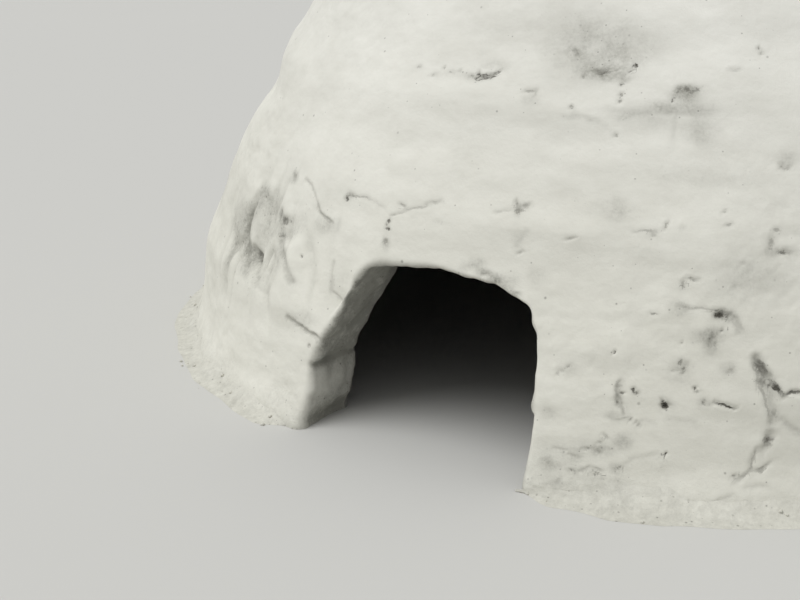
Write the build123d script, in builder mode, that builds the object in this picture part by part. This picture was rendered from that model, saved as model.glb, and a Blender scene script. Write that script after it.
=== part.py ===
from build123d import *
import os
from math import cos, degrees, hypot, pi, radians, sin

# Garden igloo of cut snow blocks, in millimetres.
# The origin is on the ground under the middle of the dome. +Z is up and the doorway faces -Y.
# Bearings are degrees round the dome from the middle of the doorway, positive towards +X.

# Dome
outer_radius = 1500
dome_height = 1700
profile_power = 1.5         # 2 gives an ellipse; less makes the wall lean in sooner, as a catenary does
wall_thickness = 180

# Snow blocks
doorway_courses = 2         # from the ground up to the bed over the doorway
blocks_beside_doorway = (15, 15)    # in each of those courses, besides the blocks that the doorway cuts
ring_pairs = (8, 7, 6, 5, 3, 3)     # of blocks, in each whole ring above the doorway
key_block_radius = 170      # of the plug that closes the top

# Doorway, an arch cut by hand, lopsided: a sloping haunch on the left, a squarer one on the right
doorway_left = 328          # jambs, from the middle
doorway_right = 315
doorway_height = 450
left_spring_height = 170
left_haunch = 190           # where the haunches meet the crown, from the middle
right_haunch = 285
haunch_drop = 30            # of the haunches below the crown
crown_offset = 20
spring_radius = 120
left_haunch_radius = 110
crown_radius = 300
right_haunch_radius = 75
crown_cover = 30            # snow left over the crown, at the inner face
jamb_block_length = 430     # from jamb to first head joint
arch_block_length = 290
lintel_block_length = 400

# Bank of loose snow packed against the foot of the wall
bank_height = 130
bank_width = 75
bank_hollow = 12            # of its slope, below a straight line
bank_count = 9              # segments round the dome

below_ground = 50           # by which the doorway's cutter passes the foot of the wall
profile_steps = 2000
full_turn = 360

os.makedirs("parts", exist_ok=True)


def wall_point(angle, depth):
    """Radius and height of a point inside the outer face, on the line square to it at a profile angle."""
    if angle == 0:
        return outer_radius - depth, 0
    rise = 2 / profile_power
    radius = outer_radius * cos(angle)
    height = dome_height * sin(angle) ** rise
    across = dome_height * rise * sin(angle) ** (rise - 1) * cos(angle)
    upward = outer_radius * sin(angle)
    length = hypot(across, upward)
    return radius - depth * across / length, height - depth * upward / length


def profile_distances():
    """Distance along the outer face from the ground, at even steps of the profile angle."""
    distances = [0.0]
    last = wall_point(0, 0)
    for step in range(1, profile_steps + 1):
        point = wall_point(angle_of(step), 0)
        distances.append(distances[-1] + hypot(point[0] - last[0], point[1] - last[1]))
        last = point
    return distances


def angle_of(step):
    return step / profile_steps * pi / 2


def bed_angle(bed):
    """Profile angle of a bed, counted from the ground: the doorway's courses share what is below its bed."""
    if bed <= doorway_courses:
        wanted = distances[doorway_bed] * bed / doorway_courses
    else:
        share = (bed - doorway_courses) / len(ring_pairs)
        coursed_length = distances[-1] - key_block_radius
        wanted = distances[doorway_bed] + share * (coursed_length - distances[doorway_bed])
    return angle_of(next(step for step, distance in enumerate(distances) if distance >= wanted))


distances = profile_distances()
doorway_bed = next(
    step for step in range(profile_steps)
    if wall_point(angle_of(step), wall_thickness)[1] >= doorway_height + crown_cover
)
course_count = doorway_courses + len(ring_pairs)
beds = [bed_angle(bed) for bed in range(course_count + 1)]


def section_plane(bearing):
    """The upright plane through the dome's axis at a bearing, with x outward and y up."""
    turn = radians(bearing - 90)
    return Plane(origin=(0, 0, 0), x_dir=(cos(turn), sin(turn), 0), z_dir=(sin(turn), -cos(turn), 0))


def wall_face_up_to(height):
    """Points of the outer face from the ground to a height, at the beds and straight between them."""
    corners = [wall_point(bed, 0) for bed in beds]
    below = [corner for corner in corners if corner[1] < height]
    last, following = below[-1], corners[len(below)]
    share = (height - last[1]) / (following[1] - last[1])
    return below + [(last[0] + share * (following[0] - last[0]), height)]


def course_radius(course):
    return wall_point((beds[course] + beds[course + 1]) / 2, wall_thickness / 2)[0]


def snow_blocks(name, course, spans, doorway=False):
    """Blocks of one course, one for each span of bearings, in a node of their own.

    Each is cut straight from bed to bed, and its beds are square to the wall, so they lean inward.
    """
    low, high = beds[course], beds[course + 1]
    with BuildPart() as blocks:
        for start, finish in spans:
            with BuildSketch(section_plane(start)):
                with BuildLine():
                    Polyline(
                        wall_point(low, 0),
                        wall_point(high, 0),
                        wall_point(high, wall_thickness),
                        wall_point(low, wall_thickness),
                        close=True,
                    )
                make_face()
            revolve(axis=Axis.Z, revolution_arc=finish - start)
        if doorway:
            with BuildSketch(Plane.XZ):
                with BuildLine():
                    arch = doorway_arch()
                    Line(arch @ 1, arch @ 0)
                make_face()
            extrude(amount=2 * outer_radius, mode=Mode.SUBTRACT)
    write(blocks.part, name)


def doorway_arch():
    """The doorway's outline, up the left jamb, over the crown and down the right jamb."""
    return FilletPolyline(
        (-doorway_left, -below_ground),
        (-doorway_left, left_spring_height),
        (-left_haunch, doorway_height - haunch_drop),
        (crown_offset, doorway_height),
        (right_haunch, doorway_height - haunch_drop),
        (doorway_right, -below_ground),
        radius=[spring_radius, left_haunch_radius, crown_radius, right_haunch_radius],
    )


def write(part, name):
    part.label = name
    export_step(part, f"parts/{name}.step")


def ring_of_blocks(course, start, finish, count):
    """The plain blocks of a course, every other one in each of two nodes, so that none touch in a node."""
    step = (finish - start) / count
    spans = [(start + i * step, start + (i + 1) * step) for i in range(count)]
    snow_blocks(f"course_{course + 1}_blocks_a", course, spans[0::2])
    snow_blocks(f"course_{course + 1}_blocks_b", course, spans[1::2])


def bearing_of(length, course):
    """Bearing that a length takes up along a course."""
    return degrees(length / course_radius(course))


# Courses beside the doorway, the last of them over its crown
for course, count in enumerate(blocks_beside_doorway):
    if course < doorway_courses - 1:
        right_end = bearing_of(doorway_right + jamb_block_length, course)
        left_end = bearing_of(doorway_left + jamb_block_length, course)
        snow_blocks(f"left_jamb_block_{course + 1}", course, [(-left_end, 0)], doorway=True)
        snow_blocks(f"right_jamb_block_{course + 1}", course, [(0, right_end)], doorway=True)
    else:
        half_lintel = bearing_of(lintel_block_length / 2, course)
        left_end = right_end = half_lintel + bearing_of(arch_block_length, course)
        snow_blocks("left_arch_block", course, [(-left_end, -half_lintel)], doorway=True)
        snow_blocks("lintel_block", course, [(-half_lintel, half_lintel)], doorway=True)
        snow_blocks("right_arch_block", course, [(half_lintel, right_end)], doorway=True)
    ring_of_blocks(course, right_end, full_turn - left_end, count)

# Whole rings above the doorway, each turned by half a block over the one below
for course, pairs in enumerate(ring_pairs, start=doorway_courses):
    count = 2 * pairs
    turn = full_turn / count / 2 * (course % 2)
    ring_of_blocks(course, turn, turn + full_turn, count)

# Key block, a plug with a tapered rim
with BuildPart() as key_block:
    with BuildSketch(section_plane(0)):
        with BuildLine():
            Polyline(
                wall_point(beds[-1], 0),
                (0, dome_height),
                (0, dome_height - wall_thickness),
                wall_point(beds[-1], wall_thickness),
                close=True,
            )
        make_face()
    revolve(axis=Axis.Z)
write(key_block.part, "key_block")

# Foot bank, in segments from the right jamb round the back to the left jamb
bank_start = degrees(doorway_right / outer_radius)
bank_finish = full_turn - degrees(doorway_left / outer_radius)
bank_step = (bank_finish - bank_start) / bank_count
wall_foot = wall_face_up_to(bank_height)
bank_hollow_point = (
    (wall_foot[-1][0] + outer_radius + bank_width) / 2 - bank_hollow,
    bank_height / 2 - bank_hollow,
)

for segment in range(bank_count):
    with BuildPart() as foot_bank:
        with BuildSketch(section_plane(bank_start + segment * bank_step)):
            with BuildLine():
                Polyline(*wall_foot, bank_hollow_point, (outer_radius + bank_width, 0), close=True)
            make_face()
        revolve(axis=Axis.Z, revolution_arc=bank_step)
    write(foot_bank.part, f"foot_bank_{segment + 1}")
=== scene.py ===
"""Garden igloo of cut snow blocks, plastered over with snow by hand.

Metres. +Z is up and the doorway faces -Y. Bearings go round the dome from the middle of the doorway,
positive towards +X. A distance is measured along the smooth outer face, up from the ground.
"""

from itertools import product

import bmesh
import bpy
import numpy as np
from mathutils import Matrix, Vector


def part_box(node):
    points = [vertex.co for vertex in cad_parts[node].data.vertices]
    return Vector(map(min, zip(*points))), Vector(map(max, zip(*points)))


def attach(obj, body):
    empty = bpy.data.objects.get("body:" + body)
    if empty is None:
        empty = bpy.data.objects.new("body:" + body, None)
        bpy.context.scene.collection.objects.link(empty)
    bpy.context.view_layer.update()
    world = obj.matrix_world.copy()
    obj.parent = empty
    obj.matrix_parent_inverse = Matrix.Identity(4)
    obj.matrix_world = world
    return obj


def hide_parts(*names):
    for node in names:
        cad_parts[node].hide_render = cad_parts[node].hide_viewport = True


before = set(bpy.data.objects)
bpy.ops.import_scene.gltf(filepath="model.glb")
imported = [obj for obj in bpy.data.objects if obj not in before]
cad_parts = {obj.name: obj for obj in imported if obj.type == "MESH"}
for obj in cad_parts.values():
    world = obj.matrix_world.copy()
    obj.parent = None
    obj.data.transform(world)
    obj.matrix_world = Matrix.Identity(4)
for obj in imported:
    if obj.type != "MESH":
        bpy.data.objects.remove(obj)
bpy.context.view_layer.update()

# Dome
outer_radius = 1.5
dome_height = 1.7
profile_power = 1.5
wall_thickness = 0.18
course_count = 8
lean_starts = 0.15              # distance over which the beds begin to tilt

# Doorway in the part, left and right of the middle, and the blocks round it
doorway_left = 0.328
doorway_right = 0.315
jamb_block_length = 0.43
arch_block_length = 0.29
lintel_block_length = 0.4

# The same doorway with its plaster: corners from the left foot to the right one, and radii between
doorway_corners = [
    (-.320, 0), (-.320, .165), (-.183, .422), (.020, .443), (.167, .426),
    (.257, .390), (.284, .335), (.308, .180), (.312, 0),
]
corner_radii = (.12, .10, .30, .05, .03, .05, .20)
outer_rim_left = 0.020          # rounding of its outer edge
outer_rim_right = 0.012
inner_rim = 0.02
jamb_joint = 0.158              # height of the joint that shows in the left jamb

# Blocks, as in the part
blocks_beside_doorway = (15, 15)
ring_pairs = (8, 7, 6, 5, 3, 3)

# Foot bank
bank_height = 0.13
bank_width = 0.075
bank_swells = [                 # bearing, more height, more width, half their length: degrees, metres
    (14.5, .012, .006, 3), (21.5, .030, .050, 3.2), (28.5, .020, .030, 3), (36, .010, .010, 6),
    (-22, .010, .004, 5),
]
crumb_count = 110
crumb_size = 0.006

# Mesh
coarseness = 1
fine_cell = 0.005 * coarseness
upper_cell = 0.0075 * coarseness
back_cell = 0.012 * coarseness
lower_courses = 4               # that the photograph shows, in fine cells
inner_step = 3                  # fine cells to one cell of the inner face
seen_middle = np.radians(-7.5)  # of the bearings that the photograph shows
seen_half = np.radians(50)
seen_fade = np.radians(15)
curve_samples = 4001            # along the wall's section, and round a course
arch_samples = 1500
arch_smoothing = 12
face_rows = 84 // coarseness    # of the doorway's piece: on the outer face, round the rim, in the reveal,
rim_turns = 8                   # round the inner rim, and on the inner face
reveal_rows = 30 // coarseness
inner_rim_turns = 5
inner_face_rows = 10
bank_rows = 30 // coarseness

seed = 41


class Noise:
    """Smooth gradient noise in three dimensions, the same for a seed on every run."""

    def __init__(self, seed):
        random = np.random.default_rng(seed)
        self.order = random.permutation(256)
        directions = random.normal(size=(256, 3))
        self.directions = directions / np.linalg.norm(directions, axis=1, keepdims=True)

    def at(self, points, size):
        """About -1 to 1 at each point, with lumps of about that size."""
        scaled = points / size
        cell = np.floor(scaled).astype(int)
        inside = scaled - cell
        fade = inside ** 3 * (inside * (inside * 6 - 15) + 10)
        total = np.zeros(points.shape[:-1])
        for corner in product((0, 1), repeat=3):
            index, weight = 0, 1
            for axis in range(3):
                index = self.order[(index + cell[..., axis] + corner[axis]) & 255]
                weight = weight * (fade[..., axis] if corner[axis] else 1 - fade[..., axis])
            total += weight * np.sum(self.directions[index] * (inside - corner), axis=-1)
        return 1.6 * total


broad, medium, small, grain, patchy = (Noise(seed + number) for number in range(5))


def smooth(value, low, high):
    """0 below low, 1 above high, and a smooth rise between them."""
    share = np.clip((value - low) / (high - low), 0, 1)
    return share * share * (3 - 2 * share)


def bell(value, width):
    return np.exp(-(value / width) ** 2)


def wrapped(turn):
    """A turn as an angle from half a turn back to half a turn on."""
    return (turn + np.pi) % (2 * np.pi) - np.pi


# The smooth dome

angles = np.linspace(0, np.pi / 2, curve_samples)
rise = 2 / profile_power
profile_radius = outer_radius * np.cos(angles)
profile_height = dome_height * np.sin(angles) ** rise
across = dome_height * rise * np.sin(angles) ** (rise - 1) * np.cos(angles)
upward = outer_radius * np.sin(angles)
profile_steps = np.hypot(np.diff(profile_radius), np.diff(profile_height))
profile_distance = np.concatenate([[0], np.cumsum(profile_steps)])
profile_up = np.divide(upward, np.hypot(across, upward), out=np.zeros_like(upward), where=upward > 0)
profile_up *= np.clip(profile_distance / lean_starts, 0, 1)
profile_out = np.sqrt(1 - profile_up ** 2)
apex = profile_distance[-1]


def section(distance, depth=0.0):
    """Radius, height, and the outward and upward parts of the direction square to the wall."""
    out, up, radius, height = (
        np.interp(distance, profile_distance, values)
        for values in (profile_out, profile_up, profile_radius, profile_height))
    return radius - depth * out, height - depth * up + np.minimum(distance, 0), out, up


def wall(bearing, distance, depth=0.0):
    """Points of the smooth wall at a depth from its outer face, and the directions square to it."""
    radius, height, out, up = section(distance, depth)
    sin, cos = np.sin(bearing), np.cos(bearing)
    points = np.stack([radius * sin, -radius * cos, height + 0 * bearing], axis=-1)
    normals = np.stack([out * sin, -out * cos, up + 0 * bearing], axis=-1)
    return points, normals


def distance_at_height(height, depth=0.0):
    """Distance up the wall of the point at a height on the face at a depth."""
    return np.interp(height, profile_height - depth * profile_up, profile_distance)


beds = np.array([0.0] + [
    distance_at_height(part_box(f"course_{course}_blocks_a")[1].z) for course in range(1, course_count + 1)
])


def course_radius(course):
    return section((beds[course] + beds[course + 1]) / 2, wall_thickness / 2)[0]


def head_joints(course):
    """Bearings of a course's head joints, from the right side of the doorway round to its left."""
    if course == 0:
        right = (doorway_right + jamb_block_length) / course_radius(0)
        left = (doorway_left + jamb_block_length) / course_radius(0)
        count = blocks_beside_doorway[0]
    elif course == 1:
        right = left = (lintel_block_length / 2 + arch_block_length) / course_radius(1)
        count = blocks_beside_doorway[1]
    else:
        count = 2 * ring_pairs[course - 2]
        right = np.pi / count * (course % 2)
        left = -right
    return np.linspace(right, 2 * np.pi - left, count + 1)


joints = [head_joints(course) for course in range(course_count)]
half_lintel = lintel_block_length / 2 / course_radius(1)


# Marks on the outer face, placed one by one from the photograph: bearings in degrees, lengths in metres.
# A width or height is half of the mark's own. Noise moves their edges by as much as ragged_edge, but by
# no more than that half width.

ragged_edge = .0045
far = 9.0       # for what is nowhere near: half widths from a mark, metres from a head joint

# Cracks and scrapes: width, depth, darkness, grey halo beside it, and the places that it runs through
cracks = [
    # Left of the doorway
    (.025, .003, 0, .46,
     (-29.2, .515), (-31.4, .458), (-32.0, .414), (-31.4, .374), (-30.0, .342), (-28.4, .324)),
    (.0065, .005, .16, .12, (-31.0, .364), (-29.8, .340), (-28.0, .322)),
    (.012, .006, 0, .28, (-23.9, .484), (-22.3, .446), (-21.5, .411), (-19.3, .378), (-17.5, .341)),
    (.0026, .003, .12, .12, (-20.6, .594), (-19.0, .584), (-17.0, .548), (-16.0, .526)),
    (.0034, .004, .24, .18, (-16.8, .542), (-15.8, .524), (-13.9, .508)),
    (.0044, .003, .04, .13, (-12.1, .419), (-11.8, .384), (-11.7, .350), (-10.1, .327)),
    (.0052, .007, .16, .24, (-16.9, .256), (-15.1, .246), (-13.3, .234), (-11.5, .222)),
    (.0095, .009, .50, .26, (-28.8, .370), (-26.6, .352)),
    # Over the doorway
    (.0022, .002, .26, .10, (-11.8, .586), (-10.4, .588), (-9.2, .586)),
    (.0022, .001, .08, .07, (-9.2, .586), (-7.8, .580), (-6.6, .570)),
    (.0022, .002, .18, .08, (-5.8, .560), (-4.2, .576), (-2.9, .588), (-1.5, .602)),
    (.0028, .002, .18, .13, (-1.8, .600), (-1.0, .606), (-.3, .613)),
    (.0024, .003, .30, .10, (-5.1, .589), (-4.2, .586)),
    (.0022, .001, .08, .06, (-4.2, .586), (-4.1, .578)),
    (.0030, .005, 1.0, .14, (0, .928), (.35, .914)),
    (.0042, .006, 1.0, .26, (.3, .914), (1.0, .919), (1.8, .920)),
    (.0032, .005, .90, .16, (1.8, .921), (2.3, .929), (2.6, .935)),
    (.0024, .003, .30, .12, (6.2, .884), (6.9, .889), (7.5, .893)),
    (.0024, .002, .14, .08, (7.5, .893), (7.6, .877)),
    # Right of the doorway, upper part
    (.0040, .002, .25, .25, (10.3, 1.003), (11.1, .991), (11.5, .981)),
    (.0022, .002, .60, .06, (16.9, .948), (17.5, .958), (17.8, .965)),
    (.0034, .001, .03, .10, (12.0, .842), (13.4, .838), (14.8, .826), (15.6, .820)),
    (.0040, .001, .03, .10, (17.0, .846), (18.4, .853), (20.0, .850)),
    (.0035, .002, .14, .12, (27.7, .965), (28.9, .962)),
    (.0032, .004, .36, .22, (7.7, .634), (8.1, .618)),
    (.0042, .003, .30, .22, (8.4, .618), (9.2, .630)),
    (.0022, .002, .12, .07, (5.8, .604), (6.8, .609), (7.6, .613)),
    (.0048, .001, .02, .13, (9.3, .566), (8.9, .546), (8.4, .530)),
    (.0028, .002, .18, .10, (8.8, .518), (9.3, .523)),
    (.0022, .001, .28, .11, (19.3, .588), (20.7, .593), (21.8, .597)),
    (.0022, .001, .24, .10, (20.9, .582), (21.6, .583)),
    (.0022, .002, .20, .07, (13.2, .558), (13.7, .562), (14.2, .566)),
    (.0024, .002, .36, .12, (27.7, .610), (28.2, .614)),
    (.0030, .003, .14, .22, (32.8, .742), (33.2, .738), (33.7, .743)),
    (.0028, .003, .42, .12, (24.4, .494), (25.4, .492)),
    (.0028, .003, .34, .12, (24.0, .488), (24.2, .478)),
    (.0040, .001, .06, .12, (28.3, .470), (28.6, .482), (29.4, .484)),
    # Right of the doorway, lower part
    (.0022, .002, .60, .04, (21.4, .415), (21.8, .414), (22.2, .414)),
    (.0022, .002, .22, .12, (24.0, .434), (25.2, .431), (27.0, .432)),
    (.0060, .004, .12, .24, (28.2, .419), (28.8, .406), (29.1, .389)),
    (.0078, .010, .62, .24, (30.5, .333), (30.9, .313), (31.4, .291)),
    (.0045, .006, .95, .24, (30.9, .313), (31.5, .290), (32.2, .268), (32.9, .248)),
    (.0032, .006, .62, .26, (32.9, .248), (33.3, .258), (34.4, .260), (36.7, .257)),
    (.0105, .005, 0, .28, (30.8, .320), (31.4, .281), (31.8, .253), (32.0, .226), (32.1, .196)),
    (.0026, .004, .24, .10, (30.3, .325), (30.7, .285), (31.2, .252), (31.6, .220), (31.8, .196)),
    (.0050, .003, .05, .16, (32.8, .203), (33.6, .183), (34.4, .171)),
    (.0105, .008, .74, .14, (31.9, .168), (31.7, .152), (31.4, .139)),
    (.0024, .003, .28, .11, (31.0, .137), (30.6, .114), (30.4, .095), (29.8, .076), (29.4, .067)),
    (.0032, .003, .34, .15, (30.5, .093), (31.2, .093), (31.9, .105)),
    (.0030, .002, .05, .10, (27.2, .024), (28.2, .036), (29.0, .042)),
    (.0030, .002, .05, .09, (30.0, .056), (30.9, .060), (31.8, .058)),
    (.0024, .005, .90, .09, (27.2, .232), (27.8, .230), (28.4, .227), (28.9, .223)),
    (.0040, .003, .14, .28, (19.2, .262), (19.2, .240), (19.3, .218)),
    (.0026, .003, .40, .16, (19.1, .256), (19.2, .238)),
    (.0036, .003, .50, .24, (19.2, .228), (19.4, .214)),
    (.0024, .002, .16, .14, (19.7, .212), (19.9, .196)),
    (.0034, .001, .05, .13, (18.7, .184), (19.3, .178), (20.2, .185)),
    (.0045, .001, .02, .09, (20.9, .176), (21.7, .184), (22.4, .180)),
    (.0050, .001, .02, .09, (23.6, .184), (25.0, .190), (25.8, .186)),
    (.0026, .002, .24, .10, (18.2, .147), (18.8, .137)),
    (.0026, .002, .20, .12, (17.9, .128), (18.3, .131)),
    (.0028, .002, .20, .12, (16.6, .112), (17.7, .114)),
    (.0034, .003, .30, .16, (17.7, .112), (18.2, .105)),
    (.0040, .002, .03, .14, (14.2, .103), (15.2, .104)),
    (.0034, .002, .10, .14, (15.6, .094), (16.5, .092)),
    (.0026, .002, .18, .12, (16.4, .062), (16.9, .067)),
    (.0032, .002, .30, .15, (16.9, .067), (17.4, .074)),
    (.0026, .002, .16, .14, (17.7, .074), (18.4, .070)),
    (.0050, .001, .02, .10, (20.3, .087), (21.0, .104), (21.8, .107), (22.8, .117)),
    (.0030, .002, .12, .12, (19.7, .049), (20.1, .041)),
    (.0030, .003, .30, .14, (20.9, .180), (21.2, .171)),
    (.0030, .001, .02, .07, (12.6, .020), (13.6, .016), (14.2, .034)),
]

# Pits: bearing, distance, width, height, depth, darkness, grey halo round it
pits = [
    # Left of the doorway
    (-34.5, .310, .0100, .0280, .004, .15, .26),
    (-22.4, .478, .0180, .0095, .010, .62, .28),
    (-23.9, .484, .0050, .0120, .005, .28, .15),
    (-22.1, .440, .0150, .0055, .006, .54, .24),
    (-13.0, .205, .0050, .0040, .004, .30, .12),
    (-23.3, .590, .0120, .0100, .004, .16, .40),
    (-17.0, .409, .0024, .0024, .004, .60, .05),
    (-9.4, .338, .0090, .0045, .007, .50, .34),
    # Over the doorway
    (-12.6, .576, .0065, .0055, .008, 1.0, .24),
    (-12.2, .586, .0060, .0040, .004, .60, .22),
    (-11.8, .585, .0045, .0035, .004, .45, .22),
    (-5.8, .543, .0042, .0045, .005, .60, .18),
    (-5.9, .535, .0030, .0050, .004, .50, .12),
    (-5.65, .527, .0058, .0040, .005, .75, .16),
    (-5.6, .497, .0052, .0055, .004, .60, .25),
    (7.0, .447, .0080, .0050, .002, .20, .25),
    (5.9, .463, .0100, .0050, .002, .14, .20),
    (1.6, .918, .0065, .0050, .006, 1.0, .20),
    (-.1, .911, .0045, .0035, .004, .80, .20),
    (.6, .910, .0045, .0035, .004, .90, .20),
    (-.4, .914, .0090, .0040, .003, .22, .25),
    (-8.5, .925, .0060, .0035, .003, .42, .15),
    (-6.0, .908, .0060, .0030, .003, .25, .15),
    (-5.0, .930, .0030, .0030, .005, .35, .12),
    (-3.5, .920, .0070, .0030, .003, .26, .15),
    (-2.6, .925, .0030, .0030, .005, .40, .12),
    # Right of the doorway, upper part
    (14.4, .949, .0160, .0060, .004, .50, .52),
    (17.8, .968, .0048, .0038, .005, .95, .08),
    (16.6, .920, .0035, .0030, .005, .60, .15),
    (16.7, .896, .0038, .0030, .005, .42, .15),
    (16.7, .880, .0030, .0028, .005, .40, .12),
    (12.4, .934, .0035, .0035, .005, .42, .12),
    (16.7, .803, .0042, .0030, .005, .50, .14),
    (11.7, .860, .0040, .0035, .005, .36, .15),
    (22.7, .916, .0060, .0045, .003, .42, .32),
    (22.6, .908, .0045, .0040, .002, .34, .20),
    (23.5, .914, .0055, .0050, .003, .40, .32),
    (24.0, .907, .0050, .0035, .002, .30, .25),
    (24.4, .913, .0075, .0030, .003, .36, .25),
    (22.1, .887, .0035, .0065, .004, .62, .12),
    (30.9, 1.020, .0034, .0030, .005, .38, .15),
    (31.2, 1.008, .0036, .0026, .005, .30, .12),
    (8.2, .612, .0050, .0065, .008, .55, .28),
    (22.4, .609, .0028, .0040, .005, .50, .10),
    (22.3, .599, .0030, .0030, .005, .50, .10),
    (27.5, .640, .0028, .0028, .005, .20, .10),
    (32.8, .749, .0040, .0030, .003, .42, .20),
    (31.7, .572, .0050, .0095, .004, .26, .26),
    (32.8, .556, .0120, .0050, .005, .52, .32),
    (32.2, .604, .0050, .0030, .003, .28, .15),
    (24.2, .476, .0030, .0045, .003, .50, .12),
    (29.3, .532, .0025, .0025, .004, .60, .05),
    # Right of the doorway, lower part
    (27.4, .420, .0100, .0085, .013, .95, .40),
    (28.1, .418, .0080, .0050, .006, .55, .35),
    (26.8, .365, .0090, .0140, .004, .26, .38),
    (27.2, .358, .0030, .0030, .005, .70, .15),
    (27.6, .387, .0038, .0038, .005, 1.0, .15),
    (24.3, .356, .0025, .0025, .004, .50, .05),
    (18.7, .326, .0026, .0026, .004, .90, .03),
    (24.3, .312, .0035, .0050, .004, .50, .15),
    (24.5, .300, .0040, .0030, .003, .42, .12),
    (24.5, .291, .0030, .0035, .003, .36, .10),
    (23.8, .296, .0065, .0025, .002, .22, .12),
    (24.8, .312, .0050, .0030, .002, .14, .14),
    (28.4, .300, .0080, .0060, .003, .14, .12),
    (23.2, .220, .0085, .0065, .013, 1.0, .28),
    (23.0, .230, .0022, .0040, .004, .50, .12),
    (25.6, .262, .0032, .0036, .005, .55, .12),
    (25.8, .254, .0040, .0030, .002, .20, .12),
    (26.3, .233, .0060, .0045, .003, .34, .32),
    (19.6, .239, .0035, .0030, .004, .45, .12),
    (20.5, .250, .0042, .0048, .004, .80, .18),
    (20.8, .241, .0045, .0050, .004, .50, .20),
    (20.5, .183, .0030, .0030, .003, .30, .10),
    (14.8, .284, .0035, .0035, .003, .42, .14),
    (15.1, .288, .0030, .0025, .002, .28, .10),
    (14.2, .272, .0060, .0025, .002, .20, .12),
    (13.9, .265, .0030, .0030, .002, .20, .10),
    (32.1, .216, .0045, .0090, .004, .32, .15),
    (31.0, .281, .0050, .0060, .003, .42, .15),
    (29.1, .079, .0055, .0032, .005, .50, .15),
    (15.9, .063, .0055, .0028, .003, .55, .22),
    (18.0, .061, .0040, .0030, .003, .40, .15),
    (18.6, .054, .0034, .0032, .003, .80, .10),
    (19.8, .079, .0045, .0035, .003, .42, .15),
    (23.5, .118, .0028, .0028, .005, 1.0, .04),
    (14.9, .036, .0060, .0060, .002, .10, .16),
]

# Smudges: bearing, distance, width, height, strength
smudges = [
    # Left of the doorway
    (-34.0, .420, .060, .050, .34), (-26.5, .440, .050, .060, .25), (-21.0, .380, .030, .040, .25),
    (-14.8, .498, .040, .018, .25), (-25.0, .300, .060, .030, .19), (-14.8, .262, .035, .018, .22),
    # Over the doorway
    (-5.5, .490, .010, .014, .30), (-12.6, .510, .007, .016, .16), (.1, .562, .016, .006, .12),
    (4.8, .484, .016, .010, .34), (5.6, .466, .016, .009, .36), (6.9, .455, .014, .009, .50),
    (8.0, .438, .014, .007, .52), (9.0, .428, .014, .007, .60),
    (7.6, .448, .034, .017, .32), (10.9, .468, .022, .020, .16),
    (3.8, .470, .016, .010, .18), (1.7, .948, .034, .012, .24), (-1.6, .912, .020, .008, .14),
    (7.2, .868, .016, .014, .20),
    # Right of the doorway, upper part
    (13.0, 1.015, .100, .066, .32), (14.5, .985, .070, .028, .19), (13.6, .947, .034, .011, .40),
    (16.0, .934, .026, .008, .35), (11.9, .836, .022, .006, .18), (13.6, .836, .026, .006, .15),
    (18.2, .852, .040, .008, .13), (23.4, .908, .028, .014, .42), (23.9, .893, .024, .010, .22),
    (23.0, .873, .065, .012, .30), (21.2, .868, .020, .008, .22), (25.2, .820, .030, .026, .32),
    (20.0, .850, .070, .018, .12), (8.7, .626, .012, .008, .25), (8.5, .548, .012, .016, .12),
    (17.3, .628, .045, .020, .24), (17.6, .632, .016, .008, .20), (17.4, .655, .014, .010, .16),
    (23.8, .602, .006, .006, .20), (33.4, .762, .022, .012, .24), (26.5, .720, .100, .020, .14),
    (31.3, .552, .004, .010, .12), (29.8, .500, .060, .040, .22),
    # Right of the doorway, lower part
    (23.8, .430, .020, .012, .36), (26.4, .374, .028, .014, .44), (24.3, .302, .018, .016, .16),
    (24.1, .274, .020, .007, .16), (28.2, .305, .016, .012, .30), (18.9, .189, .016, .008, .24),
    (14.7, .282, .020, .014, .16), (13.5, .180, .016, .012, .22), (19.9, .137, .016, .013, .55),
    (18.5, .113, .024, .010, .30), (17.3, .118, .040, .016, .16), (13.8, .069, .012, .012, .34),
    (14.7, .068, .024, .008, .18), (19.6, .077, .016, .011, .34), (17.0, .040, .090, .020, .16),
    (15.0, .090, .060, .024, .16),
]

# All of them alike: places in degrees and metres, width, height, depth, darkness, and the grey halo round a
# mark or the strength of a smudge
marks = []


def add_crack(width, depth, dark, stain, places):
    marks.append((places, width, width, depth, dark, stain))


def add_pit(bearing, distance, width, height, depth, dark, stain):
    marks.append(([(bearing, distance)], width, height, depth, dark, stain))


def add_smudge(bearing, distance, width, height, strength):
    add_pit(bearing, distance, width, height, .0005, 0, strength)


for width, depth, dark, stain, *places in cracks:
    add_crack(width, depth, dark, stain, places)
for pit in pits:
    add_pit(*pit)
for smudge in smudges:
    add_smudge(*smudge)

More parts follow.
